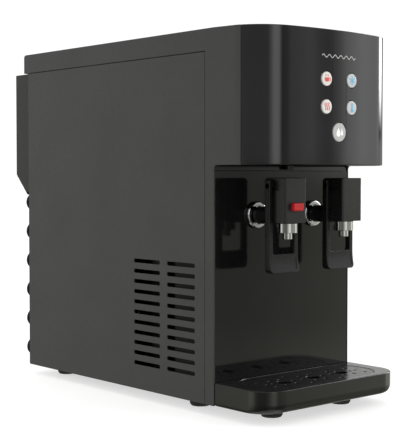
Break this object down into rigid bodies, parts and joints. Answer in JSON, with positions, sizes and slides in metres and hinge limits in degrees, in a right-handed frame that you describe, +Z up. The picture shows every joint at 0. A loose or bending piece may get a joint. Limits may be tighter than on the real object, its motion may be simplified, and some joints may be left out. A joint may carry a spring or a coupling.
{
  "type": "countertop hot and cold water dispenser",
  "caption": "Narrow countertop hot and cold water dispenser: paddle taps over a drip tray with a lift-out grille, round keys on a gloss head, wire condenser and box behind.",
  "frame": {"origin": "middle of the footprint, on the worktop plane under the feet", "axes": "+Z up, -Y towards the user (taps and tray), +X to the right as seen from the front"},
  "size_m": [0.2116, 0.4786, 0.412],
  "materials": {
    "casing_paint": "satin dark grey",
    "gloss_black": "piano black gloss",
    "satin_black": "satin moulded black",
    "condenser_paint": "semi-gloss black",
    "compressor_paint": "gloss black",
    "chrome": "polished",
    "steel": "plain mill finish",
    "rubber": "matt moulded",
    "red_plastic": "moulded red",
    "key_white": "backlit white with printed signs",
    "foam": "expanded foam",
    "board_green": "solder mask",
    "hose_clear": "milky silicone",
    "white_plastic": "moulded white"
  },
  "bodies": {
    "root": {"side_panel_left": "casing_paint", "side_panel_right": "casing_paint", "top_shell": "casing_paint", "rear_box": "casing_paint", "front_panel": "gloss_black", "head_fascia": "gloss_black", "head_base": "satin_black", "hot_tap_body": "satin_black", "cold_tap_body": "satin_black", "mains_inlet": "satin_black", "drain_cap": "satin_black", "condenser": "condenser_paint", "compressor": "compressor_paint", "base_pan": "compressor_paint", "hot_collar": "chrome", "cold_collar": "chrome", "hot_nozzle": "chrome", "cold_nozzle": "chrome", "rear_panel": "steel", "hot_tap_nut": "steel", "cold_tap_nut": "steel", "hot_plunger_spring": "steel", "cold_plunger_spring": "steel", "hot_lock_spring": "steel", "hot_tank": "steel", "cold_tank": "steel", "foot_front_left": "rubber", "foot_front_right": "rubber", "foot_rear_left": "rubber", "foot_rear_right": "rubber", "compressor_grommet_1": "rubber", "compressor_grommet_2": "rubber", "compressor_grommet_3": "rubber", "hot_jacket": "foam", "cold_jacket": "foam", "display_board": "board_green", "main_board": "board_green", "hot_hose": "hose_clear", "cold_hose": "hose_clear", "filter_left": "white_plastic", "filter_right": "white_plastic", "filter_manifold": "white_plastic", "inlet_valve": "white_plastic", "water_inlet_fitting": "white_plastic"},
    "tray": {"tray_shell": "satin_black", "tray_foot_left": "rubber", "tray_foot_right": "rubber"},
    "grille": {"drip_grille": "satin_black"},
    "hot_lever": {"hot_lever": "satin_black", "hot_lever_pin": "steel"},
    "cold_lever": {"cold_lever": "satin_black", "cold_lever_pin": "steel"},
    "hot_plunger": {"hot_plunger": "white_plastic"},
    "cold_plunger": {"cold_plunger": "white_plastic"},
    "hot_lock": {"hot_lock_button": "red_plastic"},
    "key_hot": {"key_hot": "key_white"},
    "key_cold": {"key_cold": "key_white"},
    "key_heating": {"key_heating": "key_white"},
    "key_cooling": {"key_cooling": "key_white"},
    "key_dispense": {"key_dispense": "key_white"}
  },
  "joints": [
    {"name": "hot_lever_pivot", "type": "hinge", "parent": "root", "child": "hot_lever", "pos_m": [-0.0442, -0.1975, 0.246], "axis": [1, 0, 0], "range_deg": [0, 15], "stiffness_Nm_per_rad": 0.4, "springref_deg": -5.73},
    {"name": "hot_plunger_slide", "type": "slide", "parent": "root", "child": "hot_plunger", "axis": [0, 0, -1], "range_m": [0, 0.0023], "deforming": ["hot_plunger_spring"]},
    {"name": "cold_lever_pivot", "type": "hinge", "parent": "root", "child": "cold_lever", "pos_m": [0.0442, -0.1975, 0.246], "axis": [1, 0, 0], "range_deg": [0, 15], "stiffness_Nm_per_rad": 0.4, "springref_deg": -5.73},
    {"name": "cold_plunger_slide", "type": "slide", "parent": "root", "child": "cold_plunger", "axis": [0, 0, -1], "range_m": [0, 0.0023], "deforming": ["cold_plunger_spring"]},
    {"name": "hot_lock_slide", "type": "slide", "parent": "root", "child": "hot_lock", "axis": [0, 1, 0], "range_m": [0, 0.003], "stiffness_N_per_m": 200, "springref_m": -0.002, "deforming": ["hot_lock_spring"]},
    {"name": "key_hot_press", "type": "slide", "parent": "root", "child": "key_hot", "axis": [0, 1, 0], "range_m": [0, 0.0008], "stiffness_N_per_m": 400, "springref_m": -0.001},
    {"name": "key_cold_press", "type": "slide", "parent": "root", "child": "key_cold", "axis": [0, 1, 0], "range_m": [0, 0.0008], "stiffness_N_per_m": 400, "springref_m": -0.001},
    {"name": "key_heating_press", "type": "slide", "parent": "root", "child": "key_heating", "axis": [0, 1, 0], "range_m": [0, 0.0008], "stiffness_N_per_m": 400, "springref_m": -0.001},
    {"name": "key_cooling_press", "type": "slide", "parent": "root", "child": "key_cooling", "axis": [0, 1, 0], "range_m": [0, 0.0008], "stiffness_N_per_m": 400, "springref_m": -0.001},
    {"name": "key_dispense_press", "type": "slide", "parent": "root", "child": "key_dispense", "axis": [0, 1, 0], "range_m": [0, 0.0008], "stiffness_N_per_m": 400, "springref_m": -0.001},
    {"name": "tray_slide", "type": "slide", "parent": "root", "child": "tray", "axis": [0, -1, 0], "range_m": [0, 0.12]},
    {"name": "grille_lift", "type": "slide", "parent": "tray", "child": "grille", "axis": [0, 0, 1], "range_m": [0, 0.03]}
  ],
  "couplings": [
    {"joint": "hot_plunger_slide", "follows": "hot_lever_pivot", "m_per_rad": 0.00878},
    {"joint": "cold_plunger_slide", "follows": "cold_lever_pivot", "m_per_rad": 0.00878}
  ]
}
